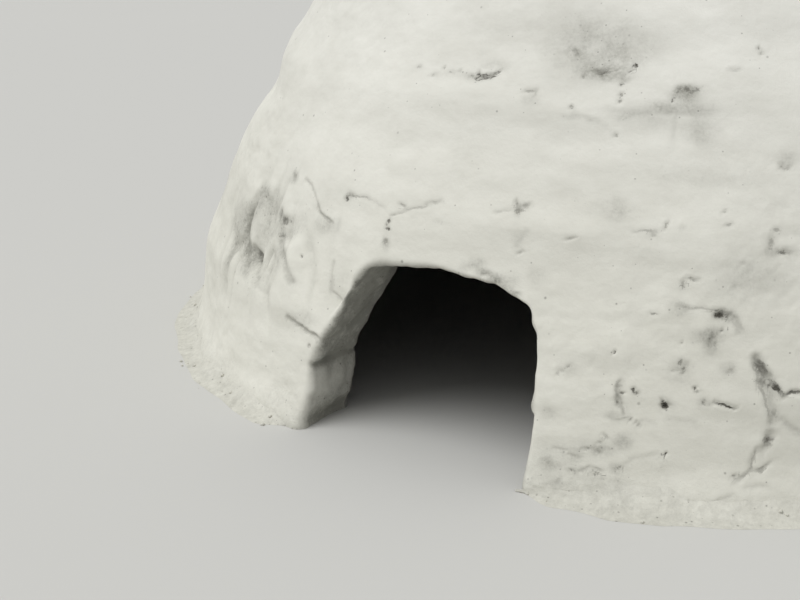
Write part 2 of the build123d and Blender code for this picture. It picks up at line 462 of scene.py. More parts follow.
# Marks of the same kinds where the photograph doesn't look: cracks lie along the joints of the blocks
unseen_from, unseen_to = 42, 310
unseen_marks = 96
high_pits = 10
random = np.random.default_rng(seed)
for number in range(unseen_marks):
    course = int(random.integers(0, course_count))
    bearing, distance = random.uniform(unseen_from, unseen_to), random.uniform(.05, 2.2)
    length, sway = random.uniform(.04, .13), random.uniform(-1, 1)
    dark = random.uniform(.25, .7)
    if number % 4 == 0:
        width, height = random.uniform(.04, .13), random.uniform(.015, .045)
        add_smudge(bearing, distance, width, height, random.uniform(.12, .30))
    elif number % 4 == 1:
        width, height = random.uniform(.005, .014), random.uniform(.004, .008)
        add_pit(bearing, distance, width, height, .007, dark, .35)
    elif number % 4 == 2:
        bearing = float(random.choice(np.degrees(joints[course]) % 360))
        foot = beds[course] + random.uniform(.02, .12)
        if unseen_from < bearing < unseen_to:
            add_crack(random.uniform(.0028, .006), .005, dark, .28, [
                (bearing, foot), (bearing + .5 * sway, foot + .5 * length),
                (bearing + .2 * sway, foot + length),
            ])
    else:
        height = beds[course + 1]
        turn = np.degrees(length / max(.3, section(height)[0]))
        add_crack(random.uniform(.0026, .005), .005, dark, .28, [
            (bearing, height), (bearing + .5 * turn, height + .008 * sway), (bearing + turn, height - .003),
        ])
for number in range(high_pits):
    distance = random.uniform(1.25, 2.3)
    bearing, width, height = random.uniform(-50, 45), random.uniform(.006, .014), random.uniform(.004, .007)
    add_pit(bearing, distance, width, height, .005, random.uniform(.2, .45), .15)

# Dents and, where the depth is below 0, bulges of the wall itself: bearing, distance, width, height, depth
dents = [
    (-52, .775, .20, .070, .036), (-52, 1.03, .24, .11, .014), (-56, .24, .26, .09, -.012),
    (-26, .43, .07, .13, .012), (-18.5, .36, .05, .16, -.012), (-10, .33, .035, .11, .016),
    (10, 1.00, .30, .05, .006), (25, .80, .30, .05, .005),
]

# Where hands and tools broke the surface up: bearing, distance, half width in degrees, half height, strength
torn_patches = [
    (-27, .42, 7, .14, 1.0), (-34, .32, 6, .12, .5), (-18, .36, 5, .12, .5), (60, .75, 8, .10, .5),
    (118, .45, 10, .14, .7), (163, .95, 12, .10, .6),
]


def dented(bearing, distance):
    total = np.zeros(distance.shape)
    radius = section(distance)[0]
    for place, height, wide, tall, depth in dents:
        turn = wrapped(bearing - np.radians(place))
        total += depth * bell(turn * radius, wide) * bell(distance - height, tall)
    return total


def outline_shift(points):
    """How far noise moves the outlines of marks, along the wall and up it."""
    sideways = .0030 * grain.at(points, .022) + .0055 * small.at(points + 1, .08)
    upward = .0030 * grain.at(points + 2, .022) + .0055 * medium.at(points + 1, .08)
    return sideways, upward


def from_line(x, y, place_x, place_y, wide):
    """Distance from a line through places, also in half widths and signed, and a fade towards its ends."""
    away = np.full(x.shape, np.inf)
    side, along = np.zeros(x.shape), np.zeros(x.shape)
    runs = np.hypot(np.diff(place_x), np.diff(place_y))
    passed = np.concatenate([[0], np.cumsum(runs)])
    for start, length in enumerate(runs):
        run_x, run_y = place_x[start + 1] - place_x[start], place_y[start + 1] - place_y[start]
        from_x, from_y = x - place_x[start], y - place_y[start]
        share = np.clip((from_x * run_x + from_y * run_y) / length ** 2, 0, 1)
        here = np.hypot(from_x - share * run_x, from_y - share * run_y)
        closer = here < away
        turned = np.where(run_x * from_y - run_y * from_x < 0, -1.0, 1.0)
        side = np.where(closer, turned * here / wide, side)
        along = np.where(closer, passed[start] + share * length, along)
        away = np.minimum(away, here)
    return away, side, smooth(np.minimum(along, passed[-1] - along), 0, min(.012, .35 * passed[-1]))


def marked(bearing, distance, points):
    """Depth of the marks at places on the outer face, and the fields for the nearest mark and the stains.

    The place across a mark is in half widths, and negative on one side of a line, so that it runs evenly
    from cell to cell.
    """
    depth_total, ragged_total, dark_total, stain_total = (np.zeros(distance.shape) for _ in range(4))
    side_total = np.full(distance.shape, far)
    radius = section(distance)[0]
    shift_x, shift_y = outline_shift(points)
    for places, wide, tall, depth, dark, halo in marks:
        bearings, distances = np.array(places).T
        bearings = np.radians(bearings)
        narrow, reach = min(wide, tall), 3 * max(wide, tall) + .04
        middle = bearings.mean()
        turn = wrapped(bearing - middle)
        turn_reach = np.ptp(bearings) / 2 + reach / max(.1, section(distances.mean())[0])
        inside = np.abs(turn) < turn_reach
        inside &= (distance > distances.min() - reach) & (distance < distances.max() + reach)
        if not inside.any():
            continue
        still_x, still_y = outline_shift(wall(middle, distances.mean())[0])
        x = turn[inside] * radius[inside] + shift_x[inside] - still_x
        y = distance[inside] + shift_y[inside] - still_y
        place_x = (bearings - middle) * section(distances)[0]
        if len(places) == 1:
            side = np.hypot((x - place_x[0]) / wide, (y - distances[0]) / tall)
            beyond, mask = (side - 1) * narrow, 1.0
        else:
            away, side, mask = from_line(x, y, place_x, distances, wide)
            beyond = away - wide
        if dark:
            stain = halo * bell(np.maximum(beyond, 0), .6 * max(wide, tall) + .003)
        else:
            stain = halo * np.exp(-np.abs(side / 1.25) ** 3)
        mask = mask * dark * (1 - smooth(beyond, fine_cell, 2 * fine_cell))
        deep = depth * bell(side * narrow, max(narrow, .8 * fine_cell))
        nearer = (np.abs(side) < np.abs(side_total[inside])) & (dark > 0)
        depth_total[inside] = np.maximum(depth_total[inside], deep)
        side_total[inside] = np.where(nearer, side, side_total[inside])
        dark_total[inside] = np.where(nearer, mask, dark_total[inside])
        ragged_total[inside] = np.where(nearer, min(1, ragged_edge / narrow), ragged_total[inside])
        stain_total[inside] += stain * (1 - stain_total[inside])
    return depth_total, {"side": side_total, "ragged": ragged_total, "dark": dark_total, "stain": stain_total}


def block_layout(bearing, distance):
    """Course, distance to the nearest bed and to the nearest head joint, and a number for the block."""
    course = np.clip(np.searchsorted(beds, distance, side="right") - 1, 0, course_count - 1)
    to_bed = np.min(np.abs(distance[..., None] - beds[1:]), axis=-1)
    to_head = np.full(distance.shape, far)
    block = np.zeros(distance.shape, int)
    for number in range(course_count):
        here = course == number
        if not here.any():
            continue
        turn = bearing[here] % (2 * np.pi)
        beside = [-half_lintel, half_lintel] if number == 1 else []
        at = np.concatenate([joints[number], joints[number] - 2 * np.pi, beside])
        at = np.unique(np.round(at % (2 * np.pi), 6))
        away = np.abs(turn[:, None] - at[None, :])
        to_head[here] = np.min(np.minimum(away, 2 * np.pi - away), axis=1) * section(distance[here])[0]
        block[here] = course_numbers * number + np.searchsorted(at, turn) % len(at)
    key = distance > beds[-1]
    block[key] = block_numbers - 1
    to_head[key] = far
    return course, to_bed, to_head, block


block_numbers, course_numbers = 400, 40     # more than there are blocks in all, and in any course
random = np.random.default_rng(seed + 1)
block_offsets = random.uniform(-1, 1, size=block_numbers)
block_tilts = random.uniform(-1, 1, size=block_numbers)


def outer_relief(bearing, distance, points):
    """How far the plastered outer face stands out from the smooth dome, and the fields for its material."""
    course, to_bed, to_head, block = block_layout(bearing, distance)
    low, high = beds[course], beds[np.minimum(course + 1, course_count)]
    share = np.clip((distance - low) / (high - low), 0, 1)
    stretched = points * np.array([1, 1, 1.9])

    lumps = (
        .011 * broad.at(points, .85)
        + .008 * medium.at(points, .40)
        + .0050 * small.at(stretched, .24)
        + .0026 * medium.at(stretched, .115)
    )
    rough = smooth(patchy.at(points, .30), -.15, .65)
    fine = (
        .0016 * (.25 + .75 * rough) * small.at(stretched, .050)
        + .0009 * (.20 + .80 * rough) * medium.at(points, .024)
        + .0005 * (.3 + .7 * rough) * grain.at(points, .0125)
    )
    flat = -.003 * np.sin(np.pi * share) ** 2
    wandering = to_bed + .030 * small.at(points + 4, .22)
    ledge = .0075 * bell(wandering, .045) * smooth(broad.at(points + 3, .42), -.25, .85)
    inside_block = smooth(np.minimum(to_bed, to_head), 0, .055)
    pad = inside_block * (.0040 * block_offsets[block] + .003 * block_tilts[block] * (2 * share - 1))
    to_joint = np.minimum(to_bed, to_head) + .006 * small.at(points, .07)
    groove = bell(to_joint, .006) * smooth(patchy.at(points + 7, .33), .25, .75)
    depth, fields = marked(bearing, distance, points)

    torn = np.zeros(distance.shape)
    for place, height, wide, tall, strength in torn_patches:
        turn = wrapped(bearing) - np.radians(place)
        torn += strength * bell(turn, np.radians(wide)) * bell(distance - height, tall)
    upright = points * np.array([1, 1, .36])
    streaks = 1 - 2 * np.abs(small.at(upright + 2, .085))
    streaks = .84 * streaks + .16 * (1 - 2 * np.abs(medium.at(upright + 5, .040)))
    torn_depth = torn * (.015 * smooth(streaks, .30, .95) + .007 * medium.at(points + 8, .075))
    # The torn patches are greyed, and painted darker along their sunken streaks as shade in the grooves.
    fields["stain"] = np.minimum(fields["stain"] + torn * (.06 + .42 * smooth(streaks, .45, .98)), .9)

    flare = .020 * bell(np.maximum(distance, 0), .055) * (1 + .5 * medium.at(points + 9, .16))
    relief = lumps + fine + flat + ledge + pad + flare - .002 * groove - depth - torn_depth
    relief = (relief - dented(bearing, distance)) * smooth(distance, -.30, .06)
    # Painted shade: the colour darkens in the joints' grooves and in the depths of marks.
    fields["hollow"] = .3 * groove + .7 * np.clip(depth / .010, 0, 1)
    fields["loose"] = looseness(distance, points)
    return relief, fields


def looseness(height, points):
    """1 where the snow is loose and granular, at the ground, and 0 on the smooth wall above."""
    return smooth(.115 + .050 * medium.at(points + 4, .18) + .02 * grain.at(points, .04) - height, 0, .10)


def unmarked(shape, **given):
    """The fields of a surface without marks, apart from those given."""
    values = {"side": far, "ragged": 0, "dark": 0, "stain": 0, "hollow": 0, "loose": 0} | given
    return {name: np.zeros(shape) + value for name, value in values.items()}


def inner_relief(bearing, distance, points):
    """How far the inner face stands into the room, and its fields. The blocks' joints are open there."""
    _, to_bed, to_head, block = block_layout(bearing, distance)
    points, to_joint = points + 5, np.minimum(to_bed, to_head)
    lumps = .006 * broad.at(points, .6) + .004 * medium.at(points, .2) + .002 * small.at(points, .07)
    groove = bell(to_joint + .004 * small.at(points, .06), .012)
    pad = .004 * block_offsets[block] * smooth(to_joint, 0, .04)
    # The open joints are painted darker, as shade in them.
    return lumps + pad - .008 * groove, unmarked(distance.shape, stain=.15 * groove, hollow=groove)


def face(bearing, distance, inner=False):
    """Points and fields of the wall's plastered outer face, or of its inner one."""
    points, directions = wall(bearing, distance, wall_thickness if inner else 0.0)
    relief, fields = (inner_relief if inner else outer_relief)(bearing, distance, points)
    return points + (-relief if inner else relief)[..., None] * directions, fields


def trimmed(fields, rows=slice(None), columns=slice(None)):
    return {name: values[rows, columns] for name, values in fields.items()}


# Meshes

def unit(vectors):
    return vectors / np.maximum(np.linalg.norm(vectors, axis=-1, keepdims=True), 1e-12)


def between(first, last, shares):
    return first + (last - first) * shares


def grid_normals(points):
    """Normals of a grid's inner points, by central differences."""
    along = points[1:-1, 2:] - points[1:-1, :-2]
    upward = points[2:, 1:-1] - points[:-2, 1:-1]
    return unit(np.cross(along, upward))


def padded(points):
    """A grid with one more row and column on each side, in line with the last two."""
    for _ in range(2):
        points = np.concatenate([2 * points[:1] - points[1:2], points, 2 * points[-1:] - points[-2:-1]])
        points = points.swapaxes(0, 1)
    return points


def numbered(grid, first=0, closed=False):
    """Vertex numbers of a grid, with the first column once more at the end where it closes on itself."""
    index = first + np.arange(grid.shape[0] * grid.shape[1]).reshape(grid.shape[:2])
    return np.concatenate([index, index[:, :1]], axis=1) if closed else index


def quads(index, flip=False):
    """Faces of a grid of vertex numbers, whose rows go up and columns go round."""
    a, b, c, d = index[:-1, :-1], index[:-1, 1:], index[1:, 1:], index[1:, :-1]
    order = (a, d, c, b) if flip else (a, b, c, d)
    return np.stack([corner.ravel() for corner in order], axis=-1).tolist()


def seam(outer_line, inner_line, flip=False):
    """Faces from a line of fine cells to the line of coarser cells behind it."""
    faces = []
    for cell in range(len(inner_line) - 1):
        edge = outer_line[cell * inner_step:(cell + 1) * inner_step + 1]
        pair = inner_line[cell:cell + 2]
        faces.append(np.concatenate([pair, edge[::-1]] if flip else [edge, pair[::-1]]).tolist())
    return faces


def placed(name, data):
    thing = bpy.data.objects.new(name, data)
    bpy.context.scene.collection.objects.link(thing)
    return thing


def add_piece(name, nodes, parts, faces, plastered=None):
    """A piece that takes the place of nodes. Each of its parts has points, normals and fields.

    If plastered is given, that many of the faces have the outer plaster, and the others the inner snow,
    painted darker as shade.
    """
    points, normals = (np.concatenate([part[item].reshape(-1, 3) for part in parts]) for item in (0, 1))
    mesh = bpy.data.meshes.new(name)
    mesh.from_pydata(points.tolist(), [], faces)
    mesh.update()
    mesh.polygons.foreach_set("use_smooth", [True] * len(faces))
    for material in [bank_snow] if plastered is None else [plaster, inner_snow_painted_shade]:
        mesh.materials.append(material)
    if plastered is not None:
        mesh.polygons.foreach_set("material_index", [0] * plastered + [1] * (len(faces) - plastered))
    for field in parts[0][2]:
        values = np.concatenate([fields[field].ravel() for *_, fields in parts])
        mesh.attributes.new(field, "FLOAT", "POINT").data.foreach_set("value", values.astype(np.float32))
    mesh.normals_split_custom_set_from_vertices(normals.tolist())
    piece = placed(name, mesh)
    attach(piece, "root")
    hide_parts(*nodes)


def whole_cells(count):
    """The number of fine cells next to count that makes whole cells of the inner face."""
    return max(inner_step, int(round(count / inner_step)) * inner_step)


def spread_bearings(start, finish, radius, fine):
    """Bearings along a course, close together where the photograph looks."""
    samples = np.linspace(start, finish, curve_samples)
    away = np.abs(wrapped(samples - seen_middle))
    cell = fine + (max(back_cell, fine) - fine) * smooth(away, seen_half, seen_half + seen_fade)
    counted = np.concatenate([[0], np.cumsum(np.diff(samples) * radius / ((cell[1:] + cell[:-1]) / 2))])
    return np.interp(np.linspace(0, counted[-1], whole_cells(counted[-1]) + 1), counted, samples)


def wall_ring(name, course, nodes):
    """The plastered blocks of a course: outer face, coarser inner face, beds and, by the doorway, ends."""
    closed = course >= len(blocks_beside_doorway)
    low, high = beds[course], beds[course + 1]
    fine = fine_cell if course < lower_courses else upper_cell
    around = spread_bearings(joints[course][0], joints[course][-1], section((low + high) / 2)[0], fine)
    rows = np.linspace(low, high, whole_cells((high - low) / fine) + 1)

    # The outer face has one more row and column on each side, for the normals
    if closed:
        ends = around[-2] - 2 * np.pi, around[1] + 2 * np.pi
    else:
        ends = 2 * around[0] - around[1], 2 * around[-1] - around[-2]
    more_rows = np.concatenate([[2 * rows[0] - rows[1]], rows, [2 * rows[-1] - rows[-2]]])
    points, fields = face(*np.meshgrid(np.concatenate([ends[:1], around, ends[1:]]), more_rows))
    outer = points[1:-1, 1:-1]
    inner, inner_fields = face(*np.meshgrid(around[::inner_step], rows[::inner_step]), inner=True)
    parts = [
        (outer, grid_normals(points), trimmed(fields, slice(1, -1), slice(1, -1))),
        (inner, -grid_normals(padded(inner)), inner_fields),
    ]
    if closed:
        parts = [
            (points[:, :-1], normals[:, :-1], trimmed(fields, columns=slice(-1)))
            for points, normals, fields in parts
        ]
    if course == 0:
        outer[0, :, 2] = inner[0, :, 2] = 0

    outer_index = numbered(parts[0][0], closed=closed)
    inner_index = numbered(parts[1][0], outer_index.max() + 1, closed)
    faces = quads(outer_index)
    plastered = len(faces)
    faces += quads(inner_index, flip=True)
    faces += seam(outer_index[0], inner_index[0], flip=True) + seam(outer_index[-1], inner_index[-1])
    if not closed:
        faces += seam(outer_index[:, 0], inner_index[:, 0])
        faces += seam(outer_index[:, -1], inner_index[:, -1], flip=True)
    add_piece(name, nodes, parts, faces, plastered)


def key_piece(name, node):
    """The plug at the top, with the plaster over it."""
    columns = int(round(2 * np.pi * section(beds[-1])[0] / upper_cell))
    rows = np.linspace(beds[-1], apex, int(round((apex - beds[-1]) / upper_cell)) + 1)
    around = np.arange(-1, columns + 1) * 2 * np.pi / columns
    parts, faces, feet, first = [], [], [], 0
    for inner, side in ((False, 1), (True, -1)):
        points, fields = face(*np.meshgrid(around, np.concatenate([[2 * rows[0] - rows[1]], rows])), inner)
        parts += [
            (points[1:-1, 1:-1], side * grid_normals(points), trimmed(fields, slice(1, -1), slice(1, -1))),
            (points[-1, 1], np.array([0, 0, side]), trimmed(fields, slice(-1, None), slice(1, 2))),
        ]
        index = numbered(points[1:-1, 1:-1], first, closed=True)
        tip = index.max() + 1
        tip_faces = np.stack([index[-1, :-1], index[-1, 1:], np.full(columns, tip)], axis=-1)
        faces += quads(index, flip=inner) + tip_faces[:, ::side].tolist()
        feet.append(index[0])
        first = tip + 1
    plastered = len(faces) // 2
    faces += quads(np.stack(feet), flip=True)
    add_piece(name, [node], parts, faces, plastered)


def rounded_outline(corners, radii, spacing=0.002):
    """Points along a line with its inner corners rounded."""
    corners = np.array(corners, float)
    points = [corners[0]]
    for before, corner, after, radius in zip(corners, corners[1:], corners[2:], radii):
        back, on = unit(before - corner), unit(after - corner)
        half = np.arccos(back @ on) / 2
        middle = corner + unit(back + on) * radius / np.sin(half)
        start, end = (
            np.arctan2(*(corner + way * radius / np.tan(half) - middle)[::-1]) for way in (back, on))
        sweep = wrapped(end - start)
        for turn in np.linspace(0, sweep, max(3, int(abs(sweep) * radius / spacing))):
            points.append(middle + radius * np.array([np.cos(start + turn), np.sin(start + turn)]))
    points.append(corners[-1])
    return np.array(points)


def doorway_piece(name, nodes):
    """The blocks round the doorway with the arch cut through them.

    One grid goes from the courses beside and over them to the arch's edge, round its rim, through the wall,
    and back over the inner face.
    """
    arch = rounded_outline(doorway_corners, corner_radii)
    lengths = np.concatenate([[0], np.cumsum(np.hypot(*np.diff(arch, axis=0).T))])
    samples = np.linspace(0, lengths[-1], arch_samples)
    arch = np.stack([np.interp(samples, lengths, column) for column in arch.T], axis=-1)
    slope = unit(np.gradient(arch, axis=0))
    away = np.stack([-slope[:, 1], slope[:, 0]], axis=-1)
    for _ in range(arch_smoothing):
        away[1:-1] = unit(away[:-2] + 2 * away[1:-1] + away[2:])
    away[0], away[-1] = (-1, 0), (1, 0)

    # The border with the courses, from the ground on the left, over the bed above the arch, to the right
    left, right, upper = joints[0][-1] - 2 * np.pi, joints[0][0], joints[1][0]
    corners = [(left, 0), (left, beds[1]), (-upper, beds[1]), (-upper, beds[2]),
               (upper, beds[2]), (upper, beds[1]), (right, beds[1]), (right, 0)]
    border = [corners[:1]]
    for first, last in zip(corners, corners[1:]):
        length = np.hypot((last[0] - first[0]) * outer_radius, last[1] - first[1])
        border.append(np.linspace(first, last, int(round(length / fine_cell)) + 1)[1:])
    border_bearing, border_distance = np.concatenate(border).T

    # Each border point pairs with the arch's point in the same direction from the sill's middle
    def direction(bearing, distance):
        return np.arctan2(distance, -bearing * outer_radius)

    def on_face(x, z, depth):
        distance = distance_at_height(z, depth)
        return np.arcsin(x / section(distance, depth)[0]), distance

    def face_y(x, z, depth):
        return -np.sqrt(section(distance_at_height(z, depth), depth)[0] ** 2 - x ** 2)

    arch_direction = direction(*on_face(*arch.T, 0.0))
    order = np.argsort(arch_direction)
    wanted = direction(border_bearing, border_distance)
    edge_x, edge_z, *edge_away = (
        np.interp(wanted, arch_direction[order], column[order]) for column in (*arch.T, *away.T))
    edge_away = unit(np.stack(edge_away, axis=-1))
    outer_rim = between(outer_rim_left, outer_rim_right, smooth(edge_x, -.15, .2))

    def beside_edge(reach):
        return edge_x + reach * edge_away[:, 0], np.maximum(edge_z + reach * edge_away[:, 1], 0)

    def rim(depth, rounding, turns):
        """Rows round an edge of the doorway, between the wall's face and the reveal."""
        rows = []
        for turn in turns:
            x, z = beside_edge(rounding * (1 - np.sin(turn)))
            into = rounding * (1 - np.cos(turn))
            rows.append(np.stack([x, face_y(x, z, depth) + (-into if depth else into), z], axis=-1))
        return np.array(rows)

    # The outer face, with one more row outside the border for the normals, and its rim
    shares = np.linspace(0, 1, face_rows + 1)
    shares = np.concatenate([[-shares[1]], shares])[:, None]
    rim_bearing, rim_distance = on_face(*beside_edge(outer_rim), 0.0)
    bearing = between(border_bearing, rim_bearing, shares)
    distance = between(border_distance, rim_distance, shares)
    face_points, face_directions = wall(bearing, distance)
    turns = np.linspace(0, np.pi / 2, rim_turns + 1)[1:]
    rim_points = rim(0.0, outer_rim, turns)

    # The reveal
    front_y = face_y(edge_x, edge_z, 0.0) + outer_rim
    back_y = face_y(edge_x, edge_z, wall_thickness) - inner_rim
    reveal_y = between(front_y, back_y, np.linspace(0, 1, reveal_rows + 1)[1:, None])
    reveal_points = np.stack([edge_x + 0 * reveal_y, reveal_y, edge_z + 0 * reveal_y], axis=-1)

    # The inner rim and the inner face
    back_turns = np.linspace(np.pi / 2, 0, inner_rim_turns + 1)[1:]
    back_points = rim(wall_thickness, inner_rim, back_turns)
    shares = np.linspace(0, 1, inner_face_rows + 1)[1:, None]
    rim_bearing, rim_distance = on_face(*beside_edge(inner_rim), wall_thickness)
    inner_bearing = between(rim_bearing, border_bearing, shares)
    inner_distance = between(rim_distance, border_distance, shares)
    inner_points, inner_directions = wall(inner_bearing, inner_distance, wall_thickness)

    # Directions in which the surface moves, smooth from the face round the rim to the reveal
    inward = np.insert(-edge_away, 1, 0, axis=1)

    def swung(start, turns):
        return unit(start * np.cos(turns)[:, None, None] + inward * np.sin(turns)[:, None, None])

    points = np.concatenate([face_points, rim_points, reveal_points, back_points, inner_points])
    directions = np.concatenate([
        face_directions, swung(face_directions[-1], turns), np.broadcast_to(inward, reveal_points.shape),
        swung(-inner_directions[0], back_turns), -inner_directions,
    ])

    # Relief: the outer face's own up to the rim, then the reveal's, then the inner face's
    face_end = len(face_points)
    rim_end = face_end + rim_turns
    reveal_end = rim_end + reveal_rows
    inner_start = reveal_end + inner_rim_turns
    bearing, distance = (
        np.concatenate([outer, np.repeat(outer[-1:], inner_start - face_end, axis=0), inner])
        for outer, inner in ((bearing, inner_bearing), (distance, inner_distance)))
    outer_value, outer_fields = outer_relief(bearing, distance, points)
    inner_value, inner_fields = inner_relief(bearing, distance, points)
    row = np.arange(len(points))[:, None]
    to_reveal = smooth(row, face_end - 1, rim_end - 1)
    to_inner = smooth(row, reveal_end - 2, inner_start)
    in_reveal = to_reveal * (1 - to_inner)

    height = points[..., 2]
    on_left = smooth(-points[..., 0], .1, .25)
    from_joint = height - jamb_joint - .012 * small.at(points, .08)
    reveal_value = (
        .0065 * medium.at(points + 9, .13)
        + .0040 * small.at(points * np.array([1, 1, .6]) + 9, .055)
        + .0014 * grain.at(points + 9, .02)
        + on_left * .013 * bell(height - .095, .050)
        - on_left * (.009 * bell(from_joint, .008) + .010 * bell(height - .012, .030))
        + (1 - on_left) * .007 * smooth(height, .166, .172) * (1 - smooth(height, .174, .215))
        + .006 * grain.at(points * np.array([1, .35, 1]) + 2, .035) * in_reveal
    )
    relief = outer_value * (1 - to_reveal) + reveal_value * in_reveal + inner_value * to_inner
    # Painted shade in the reveal: its colour darkens deeper into the wall, along the left jamb's joint and
    # high on the left, and less round the lump near the ground. Both the stain field and the hollow field
    # carry it here.
    deep_in = np.clip((row - face_end) / (reveal_end - face_end), 0, 1) * (1 - to_inner)
    reveal_shade = .62 + .38 * deep_in - .55 * bell(height - .100, .050)
    reveal_shade = reveal_shade + .4 * on_left * (bell(from_joint, .010) + smooth(height, .18, .40))
    shaded = unmarked(height.shape, stain=np.clip(reveal_shade, 0, 1), hollow=deep_in ** .35)
    fields = {
        field: outer_fields[field] * (1 - to_reveal) + inner_fields[field] * to_inner + value * in_reveal
        for field, value in shaded.items()
    }
    points = points + relief[..., None] * directions
    points[:, [0, -1], 2] = 0
    points[..., 2] = np.maximum(points[..., 2], 0)
    normals = -grid_normals(padded(points)[1:])
    points, fields = points[1:], trimmed(fields, slice(1, None))

    index = numbered(points)
    faces = quads(index, flip=True) + quads(index[[0, -1]])
    faces += [index[::-1, 0].tolist(), index[:, -1].tolist()]
    plastered = (reveal_end - 1) * (index.shape[1] - 1)
    add_piece(name, nodes, [(points, normals, fields)], faces, plastered)


def bank_piece(name, nodes):
    """Loose snow against the foot of the wall, from jamb to jamb round the back, with crumbs on and by it."""
    start = doorway_right / outer_radius - .012
    finish = 2 * np.pi - doorway_left / outer_radius - .008
    around = spread_bearings(start, finish, outer_radius, fine_cell * 1.2)
    bearing, share = np.meshgrid(around, np.linspace(0, 1, bank_rows + 1))
    outward = np.stack([np.sin(around), -np.cos(around), 0 * around], axis=-1)
    ring = outer_radius * outward
    height = .074 + .034 * medium.at(ring + 4, .30) + .016 * small.at(ring + 4, .11)
    width = .068 + .026 * broad.at(ring + 8, .40) + .014 * small.at(ring + 8, .12)
    for place, more_height, more_width, spread in bank_swells:
        near = bell(wrapped(around - np.radians(place)), np.radians(spread))
        height, width = height + more_height * near, width + more_width * near
    from_ends = np.minimum(around - start, finish - around) * outer_radius
    height = np.clip(height, .03, bank_height) * (.08 + .92 * smooth(from_ends, 0, .16))
    width = np.clip(width, .020, bank_width + .030) * (.25 + .75 * smooth(from_ends, 0, .10))

    # Its top lies in the plastered wall and follows it down, so the two run into each other
    top = distance_at_height(height)
    top_directions = wall(around, top)[1]
    top_points = face(around, top)[0] - .0025 * top_directions
    corner_points = top_points + (.22 * width)[:, None] * outward
    corner_points[:, 2] = .06 * height
    toe_points = (outer_radius + width)[:, None] * outward
    turn = share[..., None]
    points = (1 - turn) ** 2 * top_points + 2 * turn * (1 - turn) * corner_points + turn ** 2 * toe_points
    lumps = (
        .0050 * medium.at(points + 6, .095)
        + .0026 * small.at(points + 6, .042)
        + .0011 * grain.at(points + 6, .018)
        + .0024 * smooth(grain.at(points + 2, .036), .35, .80)
    )
    toe_rise = np.maximum(lumps, 0) * smooth(1 - share, 0, .35)
    lumps = between(lumps, toe_rise, smooth(share, .5, .8)) * smooth(share, .05, .55)
    points = points - lumps[..., None] * grid_normals(padded(points))
    points[..., 2] = np.maximum(points[..., 2], .0012 * (1 - share))
    points[-1, :, 2] = 0
    as_wall = .9 * (1 - smooth(share, 0, .6))[..., None]
    normals = unit(between(-grid_normals(padded(points)), top_directions, as_wall))
    wall_stain = outer_relief(bearing, points[..., 2], points)[1]["stain"]
    # Painted shade: the bank's own colour is greyed, unevenly in patches, so that its upward-facing slope
    # reads no brighter than the wall.
    bank_shade = .25 + .07 * patchy.at(points, .2) + .18 * smooth(patchy.at(points, .05), .35, .85)
    stain = between(bank_shade, wall_stain, 1 - smooth(share, .10, .75))
    foot = points[0] - .012 * outward
    foot[:, 2] = 0
    parts = [
        (points, normals, unmarked(share.shape, stain=stain, loose=looseness(points[..., 2], points))),
        (foot, np.tile([0, 0, -1.0], (len(foot), 1)), unmarked(len(foot), loose=1)),
    ]
    index = numbered(np.concatenate([points, foot[None]]))
    faces = quads(index, flip=True) + quads(index[[0, -1]])
    faces += [index[::-1, 0].tolist(), index[:, -1].tolist()]

    # Crumbs: small lumps of snow, each sunk a little into the bank or the ground beside it
    random = np.random.default_rng(seed + 2)
    ball_points, ball_faces = lump_mesh()
    for number in range(crumb_count):
        column = random.integers(2, len(around) - 2)
        place = random.uniform(.4, 1.08)
        size = crumb_size * random.uniform(.35, 1) ** 2
        if place < 1:
            base = points[int(place * bank_rows), column]
        else:
            reach = min(outer_radius + width[column] + (place - 1) * .2, outer_radius + bank_width + .03)
            base = reach * outward[column]
        shape = ball_points * (1 + .35 * small.at(ball_points + number, .9))[:, None]
        shape = shape * np.array([1, random.uniform(.6, 1), .75])
        turn = random.uniform(0, 2 * np.pi)
        sin, cos = np.sin(turn), np.cos(turn)
        turned = shape @ np.array([[cos, sin, 0], [-sin, cos, 0], [0, 0, 1]])
        lump = base + size * (turned + np.array([0, 0, .35]))
        lump[:, 2] = np.maximum(lump[:, 2], 0)
        parts.append((lump, unit(turned), unmarked(len(lump), stain=random.uniform(0, .15), loose=1)))
        faces += (index.size + number * len(lump) + ball_faces).tolist()
    add_piece(name, nodes, parts, faces)


def lump_mesh():
    """Points and faces of a small ball."""
    source = bmesh.new()
    bmesh.ops.create_icosphere(source, subdivisions=2, radius=1)
    points = np.array([vertex.co[:] for vertex in source.verts])
    faces = np.array([[vertex.index for vertex in triangle.verts] for triangle in source.faces])
    source.free()
    return points, faces


# Materials

